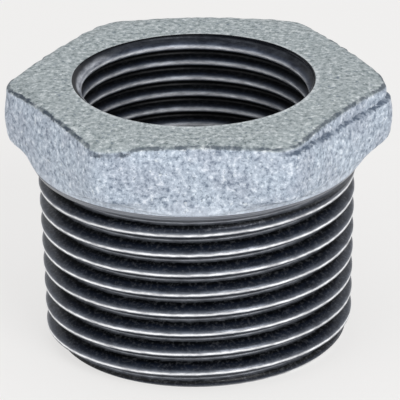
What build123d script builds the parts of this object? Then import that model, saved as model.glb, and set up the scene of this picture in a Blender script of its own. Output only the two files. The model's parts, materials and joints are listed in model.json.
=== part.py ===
from build123d import *
import os
from math import atan, cos, degrees, radians, sin, sqrt, tan

# Hexagon reducing bushing, one casting: a drafted hexagon head flares in to a short stem that
# carries a tapered pipe thread (R 1), and a bore tapped for a parallel pipe thread (Rp 3/4)
# opens through the head into the narrower cast waterway.
# The origin is the centre of the threaded end's face, and +Z runs up the axis to the head.

# ---- Driving dimensions, in millimetres and degrees ----

overall_height = 29.0
head_thickness = 6.4            # top of the head to the level its underside flares out to
across_flats = 36.8             # at its widest, where the two halves of the mould meet
parting_depth = 4.0             # mould parting line below the top of the head
top_draft_angle = 5.7           # of the flats above the parting line
under_draft_angle = 7.1         # and below it
corner_radius = 3.6             # vertical corners of the hexagon
top_flat_radius = 17.0          # the top is flat out to here, then the corners fall away
corner_fall_angle = 11.0        # of the top at the corners, from the horizontal

flare_radius = 5.6              # hollow curve that carries the stem out to the underside
flare_reach = 21.8              # from the axis to the centre of that curve
flare_start_angle = 44.0        # where on the curve turning stops, from its level point
flare_facets = 3                # cones that stand for the hollow curve

thread_pitch = 2.309            # R 1: 11 threads to the inch
thread_gauge_diameter = 33.249  # major diameter at the gauge plane
thread_gauge_length = 10.39     # from the threaded end to the gauge plane
thread_taper = 1 / 16           # on the diameter
thread_angle = 55.0             # between the flanks
thread_crest = 0.6              # width of the flat crests
washout_drop = 0.3              # the groove keeps its depth up to here below the cone's top
washout_turns = 1.0
washout_rise = 2.8              # its root moves out this far as it runs out
thread_clocking = 117.0         # where round the axis the groove starts
end_chamfer = 1.4               # at 45 degrees, across the threaded end
runout_length = 1.7             # steeper turned cone from the crests' cone to the casting

tapped_diameter = 24.117        # Rp 3/4: minor diameter of the inner thread
tapped_length = 16.3            # from the top of the head
mouth_diameter = 25.6           # outer edge of the 45 degree lead-in
core_diameter = 23.0            # waterway left as cast below the tapped bore
core_cone_angle = 30.0          # from the axis, where the core meets the tapped bore
core_edge_chamfer = 0.5

cut_overrun = 0.3               # how far a cut runs on past the surface it leaves

# ---- Sizes that follow ----

flank = tan(radians(thread_angle / 2))
cone_rise = thread_taper / 2
end_crest_radius = thread_gauge_diameter / 2 - thread_gauge_length * cone_rise
groove_depth = (thread_pitch - thread_crest) / (2 * flank)
parting_height = overall_height - parting_depth
underside_height = overall_height - head_thickness
flare_centre_height = underside_height - flare_radius
flare_start = radians(flare_start_angle)
runout_height = flare_centre_height + flare_radius * sin(flare_start)
stem_radius = flare_reach - flare_radius * cos(flare_start)
turned_height = runout_height - runout_length
thread_full_height = turned_height - washout_drop
outer_reach = max(across_flats / sqrt(3), flare_reach) + cut_overrun
corner_height = overall_height - (outer_reach - top_flat_radius) * tan(radians(corner_fall_angle))
tapped_radius = tapped_diameter / 2
core_radius = core_diameter / 2
mouth_depth = mouth_diameter / 2 - tapped_radius
tapped_bottom = overall_height - tapped_length
core_height = tapped_bottom - (tapped_radius - core_radius) / tan(radians(core_cone_angle))


def crest_radius(height):
    """Radius of the thread's crests at a height."""
    return end_crest_radius + cone_rise * height


# The end chamfer rises at 45 degrees until it meets the cone of the crests.
end_face_radius = end_crest_radius - end_chamfer
chamfer_height = end_chamfer / (1 - cone_rise)

# ---- Thread cutter ----


def groove_cutter(bottom, top, root_radius, cone_angle, start_angle):
    """A helical cutter whose section is the groove between two turns of the thread.

    Its root starts at root_radius and follows a cone, and its flanks run on past the crests.
    """
    wall_radius = root_radius + groove_depth + cut_overrun
    half_mouth = (groove_depth + cut_overrun) * flank
    with BuildPart() as cutter:
        with BuildLine() as path:
            Helix(
                thread_pitch / cos(radians(cone_angle)),
                top - bottom,
                root_radius,
                center=(0, 0, bottom),
                cone_angle=cone_angle,
            )
        with BuildSketch(Plane.XZ):
            with BuildLine():
                Polyline(
                    (root_radius, bottom),
                    (wall_radius, bottom - half_mouth),
                    (wall_radius, bottom + half_mouth),
                    close=True,
                )
            make_face()
        sweep(path=path.line, is_frenet=True)
    return cutter.part.rotate(Axis.Z, start_angle)


# The groove starts clear below the end face, keeps its depth up the cone, and climbs out of
# the wall over its last turn.
groove_start_height = -thread_pitch
full_turns = (thread_full_height - groove_start_height) / thread_pitch
full_groove = groove_cutter(
    groove_start_height,
    thread_full_height,
    crest_radius(groove_start_height) - groove_depth,
    degrees(atan(cone_rise)),
    thread_clocking,
)
washout_height = washout_turns * thread_pitch
washout = groove_cutter(
    thread_full_height,
    thread_full_height + washout_height,
    crest_radius(thread_full_height) - groove_depth,
    degrees(atan(washout_rise / washout_height)),
    thread_clocking + 360 * full_turns,
)

# ---- Bushing ----

with BuildPart() as hex_bushing:
    # Head: a hexagon drafted both ways from the parting line.
    with BuildSketch(Plane.XY.offset(parting_height)) as hexagon:
        RegularPolygon(across_flats / 2, 6, major_radius=False)
        fillet(hexagon.vertices(), corner_radius)
    extrude(amount=parting_depth, taper=top_draft_angle)
    with BuildSketch(Plane.XY.offset(parting_height)):
        add(hexagon.sketch)
    extrude(amount=turned_height - parting_height, taper=under_draft_angle)

    # Round envelope of the head: the turned run-out, the hollow curve out to the underside,
    # and a top whose corners fall away.
    with BuildSketch(Plane.XZ):
        with BuildLine():
            facet_angle = (radians(90) - flare_start) / flare_facets
            flare_angles = [flare_start + i * facet_angle for i in range(flare_facets + 1)]
            flare = [
                (flare_reach - flare_radius * cos(a), flare_centre_height + flare_radius * sin(a))
                for a in flare_angles
            ]
            Polyline(
                (0, turned_height),
                (crest_radius(turned_height), turned_height),
                *flare,
                (outer_reach, underside_height),
                (outer_reach, corner_height),
                (top_flat_radius, overall_height),
                (0, overall_height),
                close=True,
            )
        make_face()
    revolve(axis=Axis.Z, mode=Mode.INTERSECT)

    # Shank: turned cone of the thread's crests, with a chamfer at its end.
    with BuildSketch(Plane.XZ):
        with BuildLine():
            Polyline(
                (0, 0),
                (end_face_radius, 0),
                (crest_radius(chamfer_height), chamfer_height),
                (crest_radius(turned_height), turned_height),
                (0, turned_height),
                close=True,
            )
        make_face()
    revolve(axis=Axis.Z)

    # Waterway: cast core below, tapped bore above with a lead-in at its mouth.
    with BuildSketch(Plane.XZ):
        with BuildLine():
            Polyline(
                (0, -cut_overrun),
                (core_radius + core_edge_chamfer + cut_overrun, -cut_overrun),
                (core_radius, core_edge_chamfer),
                (core_radius, core_height),
                (tapped_radius, tapped_bottom),
                (tapped_radius, overall_height - mouth_depth),
                (mouth_diameter / 2 + cut_overrun, overall_height + cut_overrun),
                (0, overall_height + cut_overrun),
                close=True,
            )
        make_face()
    revolve(axis=Axis.Z, mode=Mode.SUBTRACT)

    # The thread.
    add(full_groove, mode=Mode.SUBTRACT)
    add(washout, mode=Mode.SUBTRACT)

hex_bushing.part.label = "hex_bushing"
os.makedirs("parts", exist_ok=True)
export_step(hex_bushing.part, "parts/hex_bushing.step")
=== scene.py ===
"""The looks of the hexagon reducing bushing: its casting and both threads as one fine mesh that
stands for the CAD solid, with procedural materials, a pale floor, soft lamps and the camera."""

import json
from math import cos, pi, radians, sin, sqrt, tan

import bpy
import numpy as np
from mathutils import Matrix, Vector, noise


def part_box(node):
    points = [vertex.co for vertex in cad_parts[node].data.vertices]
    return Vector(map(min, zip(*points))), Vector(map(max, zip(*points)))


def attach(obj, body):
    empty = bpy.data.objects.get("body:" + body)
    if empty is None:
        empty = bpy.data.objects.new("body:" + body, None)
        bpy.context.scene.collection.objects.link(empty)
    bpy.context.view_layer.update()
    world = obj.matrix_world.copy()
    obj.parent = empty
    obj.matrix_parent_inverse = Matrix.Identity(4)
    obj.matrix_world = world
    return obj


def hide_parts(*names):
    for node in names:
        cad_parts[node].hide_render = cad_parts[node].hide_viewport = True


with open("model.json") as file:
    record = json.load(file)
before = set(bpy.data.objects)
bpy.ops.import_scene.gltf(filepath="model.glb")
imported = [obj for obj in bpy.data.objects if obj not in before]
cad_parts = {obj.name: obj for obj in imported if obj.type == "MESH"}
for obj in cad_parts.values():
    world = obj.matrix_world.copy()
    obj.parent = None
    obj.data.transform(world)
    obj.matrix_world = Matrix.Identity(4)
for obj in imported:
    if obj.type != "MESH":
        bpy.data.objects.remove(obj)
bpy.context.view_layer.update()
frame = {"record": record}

MM = 0.001  # the sizes below are in millimetres; Blender's unit is the metre

# ---- Sizes of the solid, from the frame or repeated from the part's source ----

NODE = "hex_bushing"
MOUNTS = {m["name"]: m for m in frame["record"]["mounts"]}
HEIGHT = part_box(NODE)[1][2] / MM
APOTHEM_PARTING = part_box(NODE)[1][1] / MM
PARTING_DEPTH = 4.0                # mould parting line below the top of the head
PARTING_Z = HEIGHT - PARTING_DEPTH
TOP_DRAFT = tan(radians(5.7))      # of the apothem, per mm of height above the parting line
UNDER_DRAFT = tan(radians(7.1))    # and below it
CORNER_RADIUS = 3.6                # vertical corners of the hexagon
TOP_FLAT_RADIUS = 17.0             # the top is flat out to here, then the corners fall away
CORNER_FALL = tan(radians(11.0))   # drop of the top beyond that, per mm of radius

HEAD_THICKNESS = 6.4               # top of the head to the level its underside flares out to
FLARE_RADIUS = 5.6                 # hollow curve that carries the stem out to the underside
FLARE_REACH = 21.8                 # from the axis to the centre of that curve
FLARE_CENTRE_Z = HEIGHT - HEAD_THICKNESS - FLARE_RADIUS
FLARE_START = radians(44.0)        # where on the curve turning stops, from its level point
STEM_Z = FLARE_CENTRE_Z + FLARE_RADIUS * sin(FLARE_START)
STEM_RADIUS = FLARE_REACH - FLARE_RADIUS * cos(FLARE_START)
RUNOUT_LENGTH = 1.7                # steeper turned cone from the crests' cone to the casting
TURNED_Z = STEM_Z - RUNOUT_LENGTH

FLANK = tan(radians(27.5))         # both threads have 55 degrees between the flanks
MALE_PITCH = 2.309                 # R 1
MALE_DEPTH = 1.6413                # from the crests' cone to the sharp root of the groove
MALE_RISE = 1 / 32                 # of the radius, per mm of height
GAUGE_DIAMETER = 33.249            # major diameter at the gauge plane
GAUGE_LENGTH = 10.39               # from the threaded end to the gauge plane
MALE_END_RADIUS = GAUGE_DIAMETER / 2 - GAUGE_LENGTH * MALE_RISE
WASHOUT_DROP = 0.3                 # the groove keeps its depth up to here below the cone's top
MALE_FULL_Z = TURNED_Z - WASHOUT_DROP
MALE_CLOCKING = 117.0 / 360        # turns round the axis to where the groove starts
WASHOUT_RISE = 2.8                 # the root moves out this far in the last turn
WASHOUT_SLOPE = WASHOUT_RISE / MALE_PITCH
END_CHAMFER = 1.4

BORE_PITCH = 1.814                 # Rp 3/4, whose turns only this script has
BORE_MINOR = MOUNTS["female_thread"]["dims"]["r_mm"]
BORE_MAJOR = 26.441 / 2
BORE_FLOOR_Z = 12.7
BORE_THREAD_END_Z = 14.6           # the thread is at full depth from BORE_PLAIN over this
BORE_PLAIN = 0.3                   # bore that stays plain above its floor
BORE_ROOT_Z = 28.63                # a root of the inner thread at the back wall
MOUTH_RADIUS = 12.8                # outer edge of the lead-in
BRIM_WIDTH = 0.12                  # from the mouth to the first ring of the cast top
CORE_RADIUS = MOUNTS["waterway"]["dims"]["r_mm"]
CORE_CHAMFER = 0.5
CORE_EDGE = ((0.1, 0.32), (0.0, 0.6))    # where it fades: width over the core, and height
CORE_TOP_Z = BORE_FLOOR_Z - (BORE_MINOR - CORE_RADIUS) / tan(radians(30.0))

ROOT_SOFTNESS = {"male": 0.16, "bore": 0.12}    # reach of the rounding of crests and roots
WALL_RADIUS = BORE_MAJOR + 0.8     # between the bore and the outer surfaces

# ---- Faults of the casting ----

HEAD_SHIFT = (0.3, 0.2)            # the casting lies a little off the threads' axis
SHIFT_RADII = (13.4, 15.5)         # the shift grows from none to all between these radii
SHIFT_RISE = (0.05, 1.6)           # and between these heights over the stem
LEDGE_INSET = 0.40                 # the upper mould half stands back, on one face
LEDGE_FACE = (radians(-66.0), radians(9.0))
LEDGE_FADE = 0.12                  # radians in which it fades at each end of that face
LEDGE_Z = 26.8                     # at the X axis
LEDGE_CLIMB = 0.85                 # from there to the next corner, clockwise seen from above
LEDGE_WAVER = 0.10
LEDGE_STEP = (-0.1, 0.2)           # the skin steps back between these heights over the ledge
LEDGE_RADII = (14.5, 18.0)         # the step back grows outwards across the top
LEDGE_SIDE_Z = (22.0, 24.0)        # and upwards from the underside
NOTCH_DEPTH = 0.20                 # along the foot of the ledge
NOTCH_RISE = 0.12
NOTCH_WIDTH = 0.16
HOLLOW = 0.5                       # the curve under the head is hollower below the corners
HOLLOW_Z = (20.95, 22.4)           # between these heights

EDGE_REACH = 0.42                  # mean reach of the top edge's rounding
EDGE_REACH_WAVER = 0.34
EDGE_REACH_LIMITS = (0.2, 0.8)
PARTING_RIDGE = (0.12, 0.14)       # its share of the side above the parting line and below it
UNDER_REACH = 0.8                  # most reach of the lower edge's rounding

SKIN_DEPTH = 0.055                 # mean depth of the rough skin
LUMP_DEPTH = 0.05
LUMP_RATE = 0.55                   # features per mm
GRAIN_DEPTH = 0.035
GRAIN_RATE = 1.7
SIDE_SINK = 0.4                    # share of the depth that lowers the sides' points too
CORE_SKIN = 0.6                    # the core's roughness as a share of the head's

# ---- Mesh density ----

COLUMNS = 432          # round the outside; the bore has half as many
TOP_ROWS = 12          # from the mouth to where the corners start to fall
FALL_ROWS = 2
EDGE_ROWS = 9
SIDE_ROWS = 14
PARTING_ROWS = 6
UNDER_ROWS = 9
UNDER_EDGE_ROWS = 6
FLARE_ROWS = 6
CORE_ROWS = 22
TOUCH = 0.01           # heights nearer than this count as the same

# Rows of one turn, in mm from a root
MALE_ROWS = (-0.92, -0.74, -0.42, -0.12, 0.0, 0.12, 0.42, 0.74, 0.92, 1.08)
BORE_ROWS = (-0.72, -0.55, -0.25, 0.0, 0.25, 0.55, 0.72)


def smooth_min(a, b, reach):
    """The lesser of two heights or radii, with the corner between them rounded."""
    share = np.clip(0.5 + 0.5 * (b - a) / reach, 0, 1)
    return b * (1 - share) + a * share - reach * share * (1 - share)


def smooth_max(a, b, reach):
    return -smooth_min(-a, -b, reach)


# ---- Outline of the casting ----


def hexagon_radius(theta, z):
    """Distance from the axis to the drafted, rounded hexagon."""
    above = np.maximum(z - PARTING_Z, 0)
    below = np.maximum(PARTING_Z - z, 0)
    draft = TOP_DRAFT * above + UNDER_DRAFT * below
    apothem = APOTHEM_PARTING - draft
    corner = CORNER_RADIUS - draft
    off_flat = np.abs((theta % (pi / 3)) - pi / 6)
    off_corner = pi / 6 - off_flat
    centre = (apothem - corner) / cos(pi / 6)
    on_flat = apothem / np.cos(off_flat)
    inside = np.maximum(corner ** 2 - (centre * np.sin(off_corner)) ** 2, 0)
    on_corner = centre * np.cos(off_corner) + np.sqrt(inside)
    flat_half = np.arctan((apothem - corner) * tan(pi / 6) / apothem)
    return np.where(off_flat < flat_half, on_flat, on_corner)


def ramp_up(value, low, high):
    """0 below low and 1 above high, with a smooth climb between."""
    share = np.clip((value - low) / (high - low), 0, 1)
    return share * share * (3 - 2 * share)


def half_turn(theta):
    """The same angle, from -pi to pi."""
    return (theta + pi) % (2 * pi) - pi


def ledge_window(theta):
    """1 on the face that has the ledge, fading to 0 just past its two corners."""
    turned = half_turn(theta)
    start, end = LEDGE_FACE
    fade_out = ramp_up(turned, end - LEDGE_FADE, end)
    return ramp_up(turned, start, start + LEDGE_FADE) * (1 - fade_out)


def ledge_height(theta):
    """Height of the ledge, with the waver of a rough mould joint."""
    turned = half_turn(theta)
    climb = LEDGE_CLIMB * turned / (pi / 3)
    waver = LEDGE_WAVER * np.sin(turned * 23) * np.sin(turned * 9)
    return LEDGE_Z - climb + waver


def ledge_inset(theta, z):
    """How far the skin stands back above the ledge, and the notch along its foot."""
    above = z - ledge_height(theta)
    notch = NOTCH_DEPTH * np.exp(-((above - NOTCH_RISE) / NOTCH_WIDTH) ** 2)
    return ledge_window(theta) * (LEDGE_INSET * ramp_up(above, *LEDGE_STEP) + notch)


def top_height(radius):
    """Height of the top face, which falls away at the corners."""
    return HEIGHT - np.maximum(radius - TOP_FLAT_RADIUS, 0) * CORNER_FALL


def rounded(before, corner, after, reach_in, reach_out, count):
    """Points of a soft corner: a quadratic curve between a point before it and one after it."""
    start = corner + (before - corner) * reach_in
    end = corner + (after - corner) * reach_out
    points = []
    for t in np.linspace(0, 1, count):
        points.append(start * (1 - t) ** 2 + corner * 2 * t * (1 - t) + end * t ** 2)
    return points


def line(start, end, count):
    """Points between two ends, without them."""
    return [start + (end - start) * t for t in np.linspace(0, 1, count + 2)[1:-1]]


def head_rows(theta, mouth):
    """Rings of the head's section from the mouth over the top edge and down to the stem."""
    z_edge = np.full_like(theta, HEIGHT)
    z_under = np.full_like(theta, STEM_Z + 1)
    for _ in range(12):
        z_edge = top_height(hexagon_radius(theta, z_edge))
        reach = np.clip((FLARE_REACH - hexagon_radius(theta, z_under)) / FLARE_RADIUS, 0, 1)
        z_under = FLARE_CENTRE_Z + FLARE_RADIUS * np.sin(np.arccos(reach))

    def at(radius, z):
        return np.stack([radius * np.ones_like(theta), z * np.ones_like(theta)])

    mouth_point = at(mouth, HEIGHT)
    shoulder = at(TOP_FLAT_RADIUS, HEIGHT)
    edge = at(hexagon_radius(theta, z_edge), z_edge)
    parting = at(hexagon_radius(theta, PARTING_Z), PARTING_Z)
    under = at(hexagon_radius(theta, z_under), z_under)
    angle = np.arccos(np.clip((FLARE_REACH - under[0]) / FLARE_RADIUS, 0, 1))

    def on_flare(share):
        """Point of the hollow curve, from its meeting with the head (0) to the stem (1)."""
        a = angle + (FLARE_START - angle) * share
        radius = FLARE_REACH - FLARE_RADIUS * np.cos(a)
        return at(radius, FLARE_CENTRE_Z + FLARE_RADIUS * np.sin(a))

    # Top, and its edge, which is rounded by a reach that wavers.
    soft_edge = EDGE_REACH + EDGE_REACH_WAVER * edge_wander(theta)
    soft_edge = np.clip(soft_edge, *EDGE_REACH_LIMITS)
    top_width = edge[0] - TOP_FLAT_RADIUS
    side_height = edge[1] - parting[1]
    top_softness = np.clip(soft_edge / np.maximum(top_width, 0.1), 0, 0.8)
    side_softness = soft_edge / side_height
    edge_rows = rounded(shoulder, edge, parting, top_softness, side_softness, EDGE_ROWS)
    rows = [mouth_point]
    rows += line(mouth_point, shoulder, TOP_ROWS)
    rows += line(shoulder, edge_rows[0], FALL_ROWS)
    rows += edge_rows

    # Side, over the soft ridge of the parting line.
    above = parting + (edge - parting) * PARTING_RIDGE[0]
    below = parting + (under - parting) * PARTING_RIDGE[1]
    rows += line(edge_rows[-1], above, SIDE_ROWS)
    rows += rounded(above, parting, below, 1.0, 1.0, PARTING_ROWS)

    # Lower edge and the hollow curve.
    flare_length = np.maximum(np.abs(angle - FLARE_START) * FLARE_RADIUS, 0.05)
    drop = np.maximum(parting[1] - under[1], 0.5)
    soft_under = np.minimum(UNDER_REACH, 0.45 * flare_length)
    lower = rounded(
        parting, under, on_flare(1.0), soft_under / drop, soft_under / flare_length,
        UNDER_EDGE_ROWS,
    )
    rows += line(below, lower[0], UNDER_ROWS)
    rows += lower
    for share in np.linspace(0.12, 0.88, FLARE_ROWS):
        rows.append(lower[-1] + (on_flare(share) - lower[-1]) * min(1.0, share * 3))
    return rows


def edge_wander(theta):
    """Slow waver round the head, from -1 to 1, that closes on itself."""
    head, waver = 20.0, 1.4    # radius walked round, and length of one waver
    reach = head / waver
    return np.array([
        noise.noise(Vector((cos(t) * reach, sin(t) * reach, 0.0))) for t in theta
    ])


# ---- Threads ----


def groove(distance, softness):
    """Rise of a V groove's wall over its root, at an axial distance from the root."""
    wall = np.abs(distance) / FLANK
    return np.sqrt(wall ** 2 + softness ** 2) - softness * 0.6


def male_root(theta):
    """Height of a root of the outer thread."""
    return MALE_PITCH * (theta / (2 * pi) - MALE_CLOCKING)


def bore_root(theta):
    """Height of a root of the inner thread."""
    return BORE_ROOT_Z + BORE_PITCH * (theta - pi / 2) / (2 * pi)


def male_surface(theta, z):
    """Radius of the threaded shank, with its end chamfer, run-out and washed-out last turn."""
    crest = MALE_END_RADIUS + MALE_RISE * z
    runout = crest + np.maximum(z - TURNED_Z, 0) / (STEM_Z - TURNED_Z) * (
        STEM_RADIUS - MALE_END_RADIUS - MALE_RISE * STEM_Z
    )
    envelope = np.minimum(runout, MALE_END_RADIUS - END_CHAMFER + z)
    softness = ROOT_SOFTNESS["male"]
    first = male_root(theta)
    nearest = np.round((z - first) / MALE_PITCH)
    radius = envelope
    for step in (-1, 0, 1):
        root_z = first + (nearest + step) * MALE_PITCH
        climb = np.maximum(root_z - MALE_FULL_Z, 0) * WASHOUT_SLOPE
        root = MALE_END_RADIUS + MALE_RISE * root_z - MALE_DEPTH + climb
        radius = smooth_min(radius, root + groove(z - root_z, softness), softness)
    return radius


def bore_surface(theta, z):
    """Radius of the tapped bore, with its lead-in and the thread's fading end."""
    base = np.maximum(BORE_MINOR, MOUTH_RADIUS - (HEIGHT - z))
    softness = ROOT_SOFTNESS["bore"]
    first = bore_root(theta)
    nearest = np.round((z - first) / BORE_PITCH)
    radius = base
    for step in (-1, 0, 1):
        root_z = first + (nearest + step) * BORE_PITCH
        climb = root_z - BORE_FLOOR_Z - BORE_PLAIN
        fade = np.clip(climb / (BORE_THREAD_END_Z - BORE_FLOOR_Z), 0, 1)
        depth = (BORE_MAJOR - BORE_MINOR) * fade
        wall = BORE_MINOR + depth - groove(z - root_z, softness)
        radius = smooth_max(radius, wall, softness)
    return np.where(z <= BORE_FLOOR_Z + 1e-6, BORE_MINOR, radius)


# ---- Mesh ----


class Shell:
    """Vertices and faces gathered ring by ring. Each face carries the index of its material."""

    def __init__(self):
        self.points = []
        self.faces = []
        self.materials = []
        self.zone = []

    def ring(self, theta, radius, z, zone):
        """One closed ring of points. zone is 1 on the casting's skin and 0 on machined metal."""
        start = len(self.points)
        radius = radius * np.ones_like(theta)
        z = z * np.ones_like(theta)
        zone = zone * np.ones_like(theta)
        self.points += list(zip(radius * np.cos(theta), radius * np.sin(theta), z))
        self.zone += list(zone)
        return list(range(start, start + len(theta)))

    def face(self, corners, material):
        """One face. Corners that are the same point count once, and a mere edge is left out."""
        kept = []
        for corner in corners:
            if corner not in kept:
                kept.append(corner)
        if len(kept) > 2:
            self.faces.append(kept)
            self.materials.append(material)

    def band(self, upper, lower, material):
        """Faces between two rings of as many points, or of half as many on one side.

        Seen from outside the metal, upper lies above or further out along the section.
        """
        if len(upper) == len(lower):
            for i in range(len(upper)):
                j = (i + 1) % len(upper)
                self.face((upper[i], lower[i], lower[j], upper[j]), material)
        elif len(upper) > len(lower):
            for i in range(len(lower)):
                j = (i + 1) % len(lower)
                a, b, c = upper[2 * i], upper[2 * i + 1], upper[(2 * i + 2) % len(upper)]
                self.face((a, lower[i], b), material)
                self.face((b, lower[i], lower[j]), material)
                self.face((b, lower[j], c), material)
        else:
            for i in range(len(upper)):
                j = (i + 1) % len(upper)
                a, b, c = lower[2 * i], lower[2 * i + 1], lower[(2 * i + 2) % len(lower)]
                self.face((upper[i], a, b), material)
                self.face((upper[i], b, upper[j]), material)
                self.face((upper[j], b, c), material)

    def helix(self, theta, bottom, top, pitch, first, offsets, wall, material, inward):
        """A threaded wall between two rings, whose rows follow the helix.

        first gives the height of a root at an angle, and offsets are the rows of one turn.
        wall holds the rings, low and high, which are the caller's, so that the wall closes on
        what lies beyond it, and radius, its surface. Rows that would pass a ring end on it.
        inward turns the faces towards the axis.
        """
        count = len(theta)
        low, high = wall["low"], wall["high"]
        turns = int((top - bottom) / pitch) + 3
        start = np.floor((bottom - first(2 * pi)) / pitch) - 1
        rows = [(start + k) * pitch + o for k in range(turns + 2) for o in offsets]
        grid = []
        for row in rows:
            z = first(theta) + row
            inside = (z > bottom + TOUCH) & (z < top - TOUCH)
            radius = wall["radius"](theta, z)
            indices = []
            for i in range(count):
                if inside[i]:
                    indices.append(len(self.points))
                    x, y = radius[i] * cos(theta[i]), radius[i] * sin(theta[i])
                    self.points.append((x, y, z[i]))
                    self.zone.append(0.0)
                else:
                    indices.append(low[i] if z[i] <= bottom + TOUCH else high[i])
            grid.append(indices)
        per_turn = len(offsets)
        for j in range(len(rows) - 1):
            for i in range(count):
                if i + 1 < count:
                    right_low, right_high = grid[j][i + 1], grid[j + 1][i + 1]
                elif j + 1 + per_turn < len(rows):
                    right_low, right_high = grid[j + per_turn][0], grid[j + 1 + per_turn][0]
                else:
                    right_low, right_high = high[0], high[0]
                corners = (grid[j][i], right_low, right_high, grid[j + 1][i])
                self.face(corners[::-1] if inward else corners, material)


CAST, TURNED, MALE, BORE = range(4)


def build_shell():
    """The whole casting as one closed shell, in millimetres."""
    fine = np.arange(COLUMNS) * 2 * pi / COLUMNS
    coarse = fine[::2]
    shell = Shell()

    # Head, from the mouth to the stem.
    mouth = bore_surface(fine, np.full_like(fine, HEIGHT))
    rows = head_rows(fine, mouth + BRIM_WIDTH)
    rings = [shell.ring(fine, row[0], row[1], 1.0) for row in rows]
    for upper, lower in zip(rings, rings[1:]):
        shell.band(upper, lower, CAST)
    stem = shell.ring(fine, male_surface(fine, np.full_like(fine, STEM_Z)), STEM_Z, 0.0)
    shell.band(rings[-1], stem, CAST)

    # Outer thread.
    end = shell.ring(fine, male_surface(fine, np.zeros_like(fine)), 0.0, 0.0)
    wall = {"low": end, "high": stem, "radius": male_surface}
    shell.helix(fine, 0.0, STEM_Z, MALE_PITCH, male_root, MALE_ROWS, wall, MALE, False)

    # End face and the cast core above it.
    inner = shell.ring(coarse, CORE_RADIUS + CORE_CHAMFER, 0.0, 0.0)
    middle = shell.ring(fine, (MALE_END_RADIUS - END_CHAMFER + CORE_RADIUS) / 2, 0.0, 0.0)
    shell.band(end, middle, TURNED)
    shell.band(middle, inner, TURNED)
    previous = inner
    for width, z in CORE_EDGE:
        ring = shell.ring(coarse, CORE_RADIUS + width, z, 1.0)
        shell.band(previous, ring, TURNED)
        previous = ring
    for z in np.linspace(CORE_EDGE[-1][1], CORE_TOP_Z, CORE_ROWS)[1:]:
        ring = shell.ring(coarse, CORE_RADIUS, z, 1.0)
        shell.band(previous, ring, CAST)
        previous = ring

    # Tapped bore and its lead-in.
    floor = shell.ring(coarse, BORE_MINOR, BORE_FLOOR_Z, 0.0)
    shell.band(previous, floor, BORE)
    brim = shell.ring(coarse, bore_surface(coarse, np.full_like(coarse, HEIGHT)), HEIGHT, 0.0)
    wall = {"low": floor, "high": brim, "radius": bore_surface}
    shell.helix(
        coarse, BORE_FLOOR_Z, HEIGHT, BORE_PITCH, bore_root, BORE_ROWS, wall, BORE, True,
    )
    shell.band(brim, rings[0], CAST)
    return shell


def roughen(points, zone):
    """Casting skin: lumps and pits pressed into the head, and worked both ways in the core."""
    centre = Vector((0.0, 0.0, PARTING_Z))
    moved = []
    for (x, y, z), skin in zip(points, zone):
        if skin > 0:
            p = Vector((x, y, z))
            lumps = noise.fractal(p * LUMP_RATE, 1.0, 2.0, 3)
            grain = noise.fractal(p * GRAIN_RATE + centre, 0.8, 2.1, 2)
            depth = skin * (SKIN_DEPTH + LUMP_DEPTH * lumps + GRAIN_DEPTH * grain)
            radius = sqrt(x * x + y * y)
            if z > HEIGHT - 2 * TOUCH:
                z -= max(depth, 0.0)
            elif radius > WALL_RADIUS:
                share = 1 - max(depth, 0.0) / radius
                x, y = x * share, y * share
                z -= SIDE_SINK * max(depth, 0.0)
            else:
                share = 1 + CORE_SKIN * depth / radius
                x, y = x * share, y * share
        moved.append((x, y, z))
    return np.array(moved)


def misplace(points, original):
    """The mould's faults: a ledge on one face, hollower corners, and the head off the axis.

    points are the roughened ones and original the plain ones, both in millimetres. What it
    returns is in metres.
    """
    x, y, z = original.T
    radius = np.hypot(x, y)
    theta = np.arctan2(y, x)
    inset = ledge_inset(theta, z) * ramp_up(radius, *LEDGE_RADII) * ramp_up(z, *LEDGE_SIDE_Z)
    height = np.clip((z - HOLLOW_Z[0]) / (HOLLOW_Z[1] - HOLLOW_Z[0]), 0, 1)
    near_corner = 0.5 + 0.5 * np.cos(6 * theta)
    inset += HOLLOW * np.sin(pi * height) * near_corner * (radius > WALL_RADIUS)
    share = 1 - inset / np.maximum(radius, 1.0)
    cast = ramp_up(radius, *SHIFT_RADII) * ramp_up(z, *(STEM_Z + rise for rise in SHIFT_RISE))
    moved = points.copy()
    moved[:, 0] = points[:, 0] * share + HEAD_SHIFT[0] * cast
    moved[:, 1] = points[:, 1] * share + HEAD_SHIFT[1] * cast
    return moved * MM


# ---- Materials ----


# Sockets of a Mix node that mixes colours
MIX_SHARE, MIX_A, MIX_B, MIX_RESULT = 0, 6, 7, 2


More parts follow.
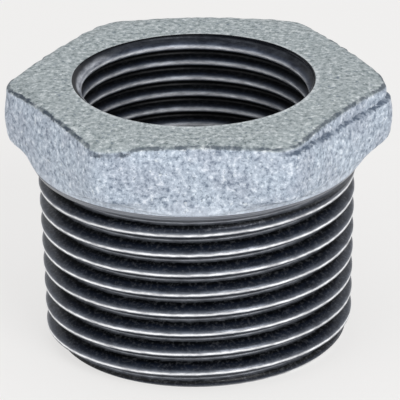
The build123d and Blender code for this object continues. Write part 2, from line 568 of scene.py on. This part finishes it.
class Nodes:
    """Short names for the few kinds of node that the materials use."""

    def __init__(self, name, roughness, metallic, gloss=0.5):
        self.material = bpy.data.materials.new(name)
        self.material.use_nodes = True
        self.tree = self.material.node_tree
        self.shader = self.tree.nodes["Principled BSDF"]
        self.shader.inputs["Roughness"].default_value = roughness
        self.shader.inputs["Metallic"].default_value = metallic
        self.shader.inputs["Specular IOR Level"].default_value = gloss
        coordinates = self.tree.nodes.new("ShaderNodeTexCoord")
        self.place = coordinates.outputs["Object"]

    def link(self, source, node, socket):
        self.tree.links.new(source, node.inputs[socket])

    def noise(self, size_mm, detail=2.0, roughness=0.5, stretch=None):
        """Noise whose features are about size_mm across."""
        node = self.tree.nodes.new("ShaderNodeTexNoise")
        node.inputs["Scale"].default_value = 1 / (size_mm * MM)
        node.inputs["Detail"].default_value = detail
        node.inputs["Roughness"].default_value = roughness
        place = self.place
        if stretch:
            mapping = self.tree.nodes.new("ShaderNodeMapping")
            mapping.inputs["Scale"].default_value = stretch
            self.link(place, mapping, "Vector")
            place = mapping.outputs["Vector"]
        self.link(place, node, "Vector")
        return node.outputs["Fac"]

    def separate(self):
        """The three coordinates."""
        node = self.tree.nodes.new("ShaderNodeSeparateXYZ")
        self.link(self.place, node, "Vector")
        return node.outputs

    def lathe_place(self):
        """Makes later noise run in rings round the axis, as a turning tool leaves them."""
        x, y, z = self.separate()
        square = self.math("ADD", self.math("MULTIPLY", x, x), self.math("MULTIPLY", y, y))
        rings = self.tree.nodes.new("ShaderNodeCombineXYZ")
        self.link(self.math("SQRT", square), rings, "X")
        self.link(z, rings, "Z")
        self.place = rings.outputs["Vector"]

    def ramp(self, source, stops):
        """Colours along a value: stops are (position, (r, g, b))."""
        node = self.tree.nodes.new("ShaderNodeValToRGB")
        elements = node.color_ramp.elements
        while len(elements) < len(stops):
            elements.new(0.5)
        for element, (position, colour) in zip(elements, stops):
            element.position = position
            element.color = (*colour, 1.0)
        self.link(source, node, "Fac")
        return node.outputs["Color"]

    def mask(self, source, low, high):
        """0 at low and 1 at high, and the same beyond them. Either may be the greater."""
        node = self.tree.nodes.new("ShaderNodeMapRange")
        node.inputs["From Min"].default_value = low
        node.inputs["From Max"].default_value = high
        self.link(source, node, "Value")
        return node.outputs["Result"]

    def mix(self, share, a, b, blend="MIX"):
        """Colour b over a. Each of the three may be a socket or a value."""
        node = self.tree.nodes.new("ShaderNodeMix")
        node.data_type = "RGBA"
        node.blend_type = blend
        for socket, value in ((MIX_SHARE, share), (MIX_A, a), (MIX_B, b)):
            if isinstance(value, bpy.types.NodeSocket):
                self.link(value, node, socket)
            elif socket == MIX_SHARE:
                node.inputs[socket].default_value = value
            else:
                node.inputs[socket].default_value = (*value, 1.0)
        return node.outputs[MIX_RESULT]

    def math(self, operation, a, b=None):
        """One Math node. Each of the two may be a socket or a number."""
        node = self.tree.nodes.new("ShaderNodeMath")
        node.operation = operation
        for index, value in enumerate((a, b)):
            if isinstance(value, bpy.types.NodeSocket):
                self.link(value, node, index)
            elif value is not None:
                node.inputs[index].default_value = value
        return node.outputs[0]

    def turn(self, pitch_mm, root_z_mm, waver):
        """Place within one turn of a thread, 0 and 1 in the roots and 0.5 on the crest, and z.

        root_z_mm is the height of a root on the X axis, and waver is a share of a turn.
        """
        x, y, z = self.separate()
        turns = self.math("DIVIDE", self.math("ARCTAN2", y, x), 2 * pi)
        height = self.math("DIVIDE", self.math("SUBTRACT", z, root_z_mm * MM), pitch_mm * MM)
        place = self.math("SUBTRACT", height, turns)
        wander = self.math("SUBTRACT", self.noise(1.1, 3.0, 0.6), 0.5)
        place = self.math("ADD", place, self.math("MULTIPLY", wander, waver))
        return self.math("FRACT", place), z

    def bump(self, height, depth_mm):
        node = self.tree.nodes.new("ShaderNodeBump")
        node.inputs["Strength"].default_value = 1.0
        node.inputs["Distance"].default_value = depth_mm * MM
        self.link(height, node, "Height")
        return node.outputs["Normal"]

    def attribute(self, name):
        node = self.tree.nodes.new("ShaderNodeAttribute")
        node.attribute_name = name
        return node.outputs["Fac"]

    def finish(self, colour, normal):
        self.link(colour, self.shader, "Base Color")
        self.link(normal, self.shader, "Normal")
        return self.material


def screen(red, green, blue):
    """A colour from its 8-bit screen levels."""
    def linear(value):
        value = value / 255
        return value / 12.92 if value <= 0.04045 else ((value + 0.055) / 1.055) ** 2.4
    return (linear(red), linear(green), linear(blue))


def slate(level):
    """A cool grey of the bare iron, from one screen level. The dark tones are the bluest."""
    tint = min(level / 20, 1) * (1 - level / 300)
    return screen(level - 7 * tint, level, level + 14 * tint)


def galvanized():
    """Matt zinc over a cast skin: fine mottle, grey-blue pits, a few flecks, dark edges, painted
    shade on the top and along the ledge, and painted light low on the head.
    """
    n = Nodes("galvanized_cast_iron", 0.6, 0.1)
    grain = n.noise(0.58, 4.0, 0.74)
    side = n.ramp(grain, (
        (0.34, screen(104, 118, 136)), (0.44, screen(162, 174, 189)),
        (0.54, screen(188, 200, 214)), (0.65, screen(230, 238, 247)),
    ))
    # painted shade: the top is darker than the sides, as well as greener
    top = n.ramp(grain, (
        (0.34, screen(100, 112, 115)), (0.44, screen(152, 162, 165)),
        (0.54, screen(174, 183, 186)), (0.65, screen(216, 222, 224)),
    ))
    clouds = n.noise(4.5, 2.0)
    dusky = n.mix(1.0, side, (0.89, 0.875, 0.885), "MULTIPLY")
    side = n.mix(n.mask(clouds, 0.42, 0.6), dusky, side)
    colour = n.mix(n.attribute("top"), side, top)
    pits = n.math("MULTIPLY", n.mask(n.noise(0.45, 2.0, 0.6), 0.38, 0.32), 0.7)
    colour = n.mix(pits, colour, screen(100, 114, 130))
    flecks = n.math("MULTIPLY", n.mask(n.noise(0.5, 1.0), 0.69, 0.74), 0.6)
    colour = n.mix(flecks, colour, screen(230, 236, 240))
    # lighter patches along the brim of the mouth
    pale_brim_patches = n.math("MULTIPLY", n.mask(n.attribute("brim"), 0.36, 0.10), n.mask(grain, 0.30, 0.75))
    colour = n.mix(pale_brim_patches, colour, screen(216, 222, 225))
    z = n.separate()[2]
    # painted light: the lowest band of the head, over the curve to the stem, is painted lighter
    painted_hem_light = n.math("MULTIPLY", n.mask(z, (STEM_Z + 1.3) * MM, (STEM_Z + 0.4) * MM), 0.4)
    colour = n.mix(painted_hem_light, colour, screen(216, 224, 234))
    ragged = n.math("MULTIPLY", n.math("SUBTRACT", n.noise(0.7, 3.0, 0.7), 0.5), 0.9)
    patches = n.mask(n.noise(1.6, 2.0), 0.36, 0.52)
    # dark lines along the rim and along the ledge; the ledge's is painted shade in the notch at
    # its foot
    lines = (("rim", 0.20, screen(58, 70, 84)), ("ledge", 0.14, screen(84, 98, 116)))
    for name, width, tone in lines:
        near = n.mask(n.math("ADD", n.attribute(name), ragged), width + 0.10, width - 0.06)
        share = n.math("MULTIPLY", near, n.attribute(name + "_dirt"))
        share = n.math("MULTIPLY", share, n.math("ADD", n.math("MULTIPLY", patches, 0.6), 0.4))
        colour = n.mix(share, colour, tone)
    return n.finish(colour, n.bump(n.noise(0.6, 3.0, 0.6), 0.09))


def turned_iron():
    """The turned end face and the waterway's edge, with fine rings from the tool."""
    n = Nodes("turned_iron", 0.42, 0.5)
    n.lathe_place()
    rings = n.noise(0.35, 3.0, 0.6)
    colour = n.ramp(rings, ((0.3, slate(108)), (0.5, slate(140)), (0.7, slate(166))))
    return n.finish(colour, n.bump(rings, 0.02))


FLOOR_GLOW = 0.72    # share of the floor's colour that no shadow reaches

# Tones across one turn of a thread, upwards from root to root: (place, screen level).
# Over the dark iron they hold painted light and shade: a painted highlight on the crests,
# painted shade in the grooves and up the flanks, and on the outer thread a painted glint
# at the root.
MALE_TONES = (
    (0.00, 150), (0.06, 50), (0.20, 16), (0.385, 20), (0.43, 66), (0.46, 176), (0.49, 244),
    (0.53, 246), (0.565, 158), (0.61, 98), (0.66, 64), (0.72, 42), (0.79, 24), (0.85, 6),
    (0.90, 8), (0.95, 122), (1.00, 150),
)
BORE_TONES = (
    (0.00, 5), (0.34, 7), (0.39, 70), (0.44, 142), (0.48, 204), (0.53, 206), (0.59, 146),
    (0.64, 92), (0.685, 50), (0.74, 22), (0.80, 8), (1.00, 4),
)


def thread_tones(n, turn, tones, streaks, speckle):
    """Colour along the turn, with its painted highlights and painted shade, streaks along the
    helix and pale specks in the grooves.
    """
    colour = n.ramp(turn, [(place, slate(level)) for place, level in tones])
    shade = n.ramp(streaks, (
        (0.30, (0.55, 0.55, 0.57)), (0.5, (1.0, 1.0, 1.0)), (0.72, (1.5, 1.5, 1.5)),
    ))
    colour = n.mix(1.0, colour, shade, "MULTIPLY")
    # the grooves, away from the crests, where the painted shade lies over the dark iron
    off_crest = n.mask(n.math("ABSOLUTE", n.math("SUBTRACT", turn, 0.5)), 0.10, 0.16)
    specks = n.math("MULTIPLY", n.mask(n.noise(0.36, 2.0, 0.7), 0.50, 0.68), speckle)
    return n.mix(n.math("MULTIPLY", specks, off_crest), colour, slate(150))


def cut_thread():
    """Bare machined iron: bright crests with a painted highlight, blue-black oily grooves
    deepened by painted shade, a painted glint at the roots, a turned band at the top.
    """
    n = Nodes("cut_thread", 0.31, 0.35, 0.3)
    turn, z = n.turn(MALE_PITCH, -MALE_PITCH * MALE_CLOCKING, 0.06)
    streaks = n.noise(0.5, 3.0, 0.65, (0.3, 0.3, 1.6))
    colour = thread_tones(n, turn, MALE_TONES, streaks, 0.18)
    rings = n.noise(0.3, 2.0, 0.5, (0.05, 0.05, 2.5))
    band = n.ramp(rings, ((0.35, slate(96)), (0.65, slate(152))))
    turned = n.mask(z, (MALE_FULL_Z + 0.5) * MM, (MALE_FULL_Z + 1.1) * MM)
    shallow = n.mask(n.attribute("depth"), 0.45, 0.2)
    colour = n.mix(n.math("MULTIPLY", turned, shallow), colour, band)
    return n.finish(colour, n.bump(streaks, 0.03))


def tapped_bore():
    """The inner thread, blacker than the outer one partly by painted shade, with grey crests, a
    grey lead-in and a first turn painted lighter.
    """
    n = Nodes("tapped_bore", 0.42, 0.25, 0.25)
    turn, z = n.turn(BORE_PITCH, BORE_ROOT_Z - BORE_PITCH / 4, 0.05)
    streaks = n.noise(0.5, 3.0, 0.6, (0.35, 0.35, 1.6))
    colour = thread_tones(n, turn, BORE_TONES, streaks, 0.04)
    lead_in = n.ramp(streaks, ((0.3, slate(96)), (0.65, slate(176))))
    colour = n.mix(n.attribute("lead_in"), colour, lead_in)
    first_turn = n.mask(z, (HEIGHT - 1.7) * MM, (HEIGHT - 0.9) * MM)
    # painted light: the first turn, near the mouth, is painted lighter than the turns deeper in
    # the bore
    colour = n.mix(first_turn, colour, n.mix(1.0, colour, (2.3, 2.3, 2.3), "MULTIPLY"))
    # the first turn is then mixed part way towards a streaked grey, which flattens it
    streaked_grey = n.ramp(streaks, ((0.35, slate(30)), (0.7, slate(84))))
    colour = n.mix(n.math("MULTIPLY", first_turn, 0.45), colour, streaked_grey)
    colour = n.mix(n.mask(z, (HEIGHT - 0.34) * MM, (HEIGHT - 0.2) * MM), colour, slate(14))
    return n.finish(colour, n.bump(streaks, 0.02))


def floor_material():
    """Plain pale floor that the camera sees off white, with the object's shadow faint on it."""
    n = Nodes("pale_floor", 0.9, 0.0)
    haze = n.ramp(n.noise(220.0, 1.0), (
        (0.3, screen(244, 243, 242)), (0.7, screen(246, 245, 244)),
    ))
    n.finish(haze, n.bump(n.noise(2.0, 1.0), 0.002))
    glow = n.tree.nodes.new("ShaderNodeEmission")
    n.link(haze, glow, "Color")
    path = n.tree.nodes.new("ShaderNodeLightPath").outputs
    seen = n.math("MAXIMUM", path["Is Camera Ray"], path["Is Glossy Ray"])
    seen = n.math("MAXIMUM", seen, path["Is Transmission Ray"])
    blend = n.tree.nodes.new("ShaderNodeMixShader")
    n.link(n.math("MULTIPLY", seen, FLOOR_GLOW), blend, 0)
    n.link(n.shader.outputs["BSDF"], blend, 1)
    n.link(glow.outputs["Emission"], blend, 2)
    n.link(blend.outputs["Shader"], n.tree.nodes["Material Output"], "Surface")
    return n.material


# ---- Attributes that the materials read ----


def store(mesh, name, values):
    """One value per point, for an Attribute node."""
    attribute = mesh.attributes.new(name, "FLOAT", "POINT")
    attribute.data.foreach_set("value", np.asarray(values, dtype=np.float32))


def face_share(theta, face):
    """1 on one of the head's six faces, counted from the X axis, and 0 off it."""
    middle = (face + 0.5) * pi / 3
    return 1 - ramp_up(np.abs(theta - middle), pi / 6 - 0.04, pi / 6 + 0.04)


def point_masks(points):
    """What the materials need to know of each point, from its plain place in millimetres.

    depth in the outer groove; lead_in and top, 1 on those faces; distances to the mouth's
    brim, the rim of the head and the ledge; and how dark those two lines are there.
    """
    x, y, z = points.T
    radius = np.hypot(x, y)
    theta = np.arctan2(y, x) % (2 * pi)
    crest = np.minimum(MALE_END_RADIUS + MALE_RISE * z, MALE_END_RADIUS - END_CHAMFER + z)
    outer = (z < STEM_Z + TOUCH) & (radius > WALL_RADIUS)
    depth = np.where(outer, np.maximum(crest - radius, 0), 0)
    cone = MOUTH_RADIUS - (HEIGHT - z)
    on_cone = 1 - ramp_up(np.abs(radius - cone), 0.04, 0.2)
    lead_in = on_cone * ramp_up(cone - BORE_MINOR, 0.02, 0.14)
    far_off = 9.0
    brim = np.where(z > HEIGHT - TOUCH, np.abs(radius - MOUTH_RADIUS - BRIM_WIDTH), far_off)

    # The dark line follows the rim, and drops a little over the left of the front face.
    outline = hexagon_radius(theta, np.full_like(theta, HEIGHT - 0.5))
    corner_z = top_height(outline)
    front = (y < -10) * (np.abs(theta - 1.5 * pi) < pi / 6 + 0.05)
    jog = (1 - ramp_up(x, -7.0, -6.4)) * front
    rim = np.hypot(radius - (outline - 0.12 + 0.12 * jog), z - (corner_z - 0.05 - 0.5 * jog))
    rim_dirt = np.maximum(0.8 + 0.2 * face_share(theta, 3), 0.9 * jog)
    # the ledge's dark line is painted shade in the notch at its foot
    ledge = np.abs(z - ledge_height(theta) - 0.05)
    top = 1 - ramp_up(top_height(radius) - z, 0.1, 0.4)
    return {
        "depth": depth, "lead_in": lead_in, "brim": brim, "top": top, "rim": rim,
        "rim_dirt": rim_dirt, "ledge": ledge, "ledge_dirt": ledge_window(theta),
    }


def build_bushing():
    """The casting's one piece, which stands for the CAD solid."""
    shell = build_shell()
    mesh = bpy.data.meshes.new("hex_bushing_casting")
    original = np.array(shell.points)
    placed = misplace(roughen(shell.points, shell.zone), original)
    mesh.from_pydata(placed.tolist(), [], shell.faces)
    for name, values in point_masks(original).items():
        store(mesh, name, values)
    for make in (galvanized, turned_iron, cut_thread, tapped_bore):
        mesh.materials.append(make())
    mesh.polygons.foreach_set("material_index", shell.materials)
    mesh.polygons.foreach_set("use_smooth", [True] * len(mesh.polygons))
    mesh.update()
    bushing = bpy.data.objects.new("hex_bushing_casting", mesh)
    bpy.context.collection.objects.link(bushing)
    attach(bushing, "root")
    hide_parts(NODE)


# ---- Stage, lamps and camera ----


def build_floor():
    """A square far wider than the picture, in metres."""
    half = 3.0
    low = -0.02 * MM    # just clear of the face that stands on it
    corners = [(-half, -half, low), (half, -half, low), (half, half, low), (-half, half, low)]
    mesh = bpy.data.meshes.new("floor")
    mesh.from_pydata(corners, [], [(0, 1, 2, 3)])
    mesh.materials.append(floor_material())
    floor = bpy.data.objects.new("floor", mesh)
    bpy.context.collection.objects.link(floor)


LAMP_AIM = (0, 0, 0.015)    # the middle of the bushing, in metres


def area_lamp(name, place, size, power):
    """A square soft lamp that faces the middle of the bushing. Lengths are in metres."""
    data = bpy.data.lights.new(name, "AREA")
    data.size = size
    data.energy = power
    lamp = bpy.data.objects.new(name, data)
    lamp.location = place
    aim = Vector(LAMP_AIM) - Vector(place)
    lamp.rotation_euler = aim.to_track_quat("-Z", "Y").to_euler()
    bpy.context.collection.objects.link(lamp)


def build_lights():
    """An even white surround, with a key lamp from the right and a weak fill from the left."""
    world = bpy.data.worlds.new("studio")
    world.use_nodes = True
    surround = world.node_tree.nodes["Background"]
    surround.inputs["Color"].default_value = (1, 1, 1, 1)
    surround.inputs["Strength"].default_value = 0.66
    bpy.context.scene.world = world
    area_lamp("key", (0.26, -0.44, 0.34), 0.3, 1.5)
    area_lamp("fill", (-0.35, -0.35, 0.3), 0.35, 0.4)


CAMERA_DISTANCE = 700.0
CAMERA_AZIMUTH = radians(1.5)      # towards +X, from straight in front
CAMERA_ELEVATION = radians(23.6)
CAMERA_ROLL = radians(-0.95)
PIXELS_PER_MM = 9.38               # at the axis
FRAME_PIXELS = 400
SENSOR = 36.0
AXIS_POINT = Vector((0.0, 0.0, 18.3))
AXIS_POINT_PIXEL = (196.6, 172.0)  # where that point of the axis lies in the picture


def build_camera():
    """A camera at the photograph's angle and scale, aimed by one point of the axis."""
    az, el, roll = CAMERA_AZIMUTH, CAMERA_ELEVATION, CAMERA_ROLL
    back = Vector((sin(az) * cos(el), -cos(az) * cos(el), sin(el)))
    right = Vector((cos(az), sin(az), 0.0))
    up = back.cross(right)
    right, up = right * cos(roll) + up * sin(roll), up * cos(roll) - right * sin(roll)
    off_x = (FRAME_PIXELS / 2 - AXIS_POINT_PIXEL[0]) / PIXELS_PER_MM
    off_y = (FRAME_PIXELS / 2 - AXIS_POINT_PIXEL[1]) / PIXELS_PER_MM
    aim = AXIS_POINT + right * off_x - up * off_y
    place = (aim + back * CAMERA_DISTANCE) * MM
    data = bpy.data.cameras.new("camera")
    data.sensor_width = SENSOR
    data.lens = PIXELS_PER_MM * CAMERA_DISTANCE / FRAME_PIXELS * SENSOR
    data.clip_start = 0.01
    data.clip_end = 20.0
    camera = bpy.data.objects.new("camera", data)
    camera.matrix_world = Matrix((
        (right.x, up.x, back.x, place.x),
        (right.y, up.y, back.y, place.y),
        (right.z, up.z, back.z, place.z),
        (0, 0, 0, 1),
    ))
    bpy.context.collection.objects.link(camera)
    bpy.context.scene.camera = camera


build_bushing()
build_floor()
build_lights()
build_camera()
bpy.context.scene.view_settings.view_transform = "Standard"
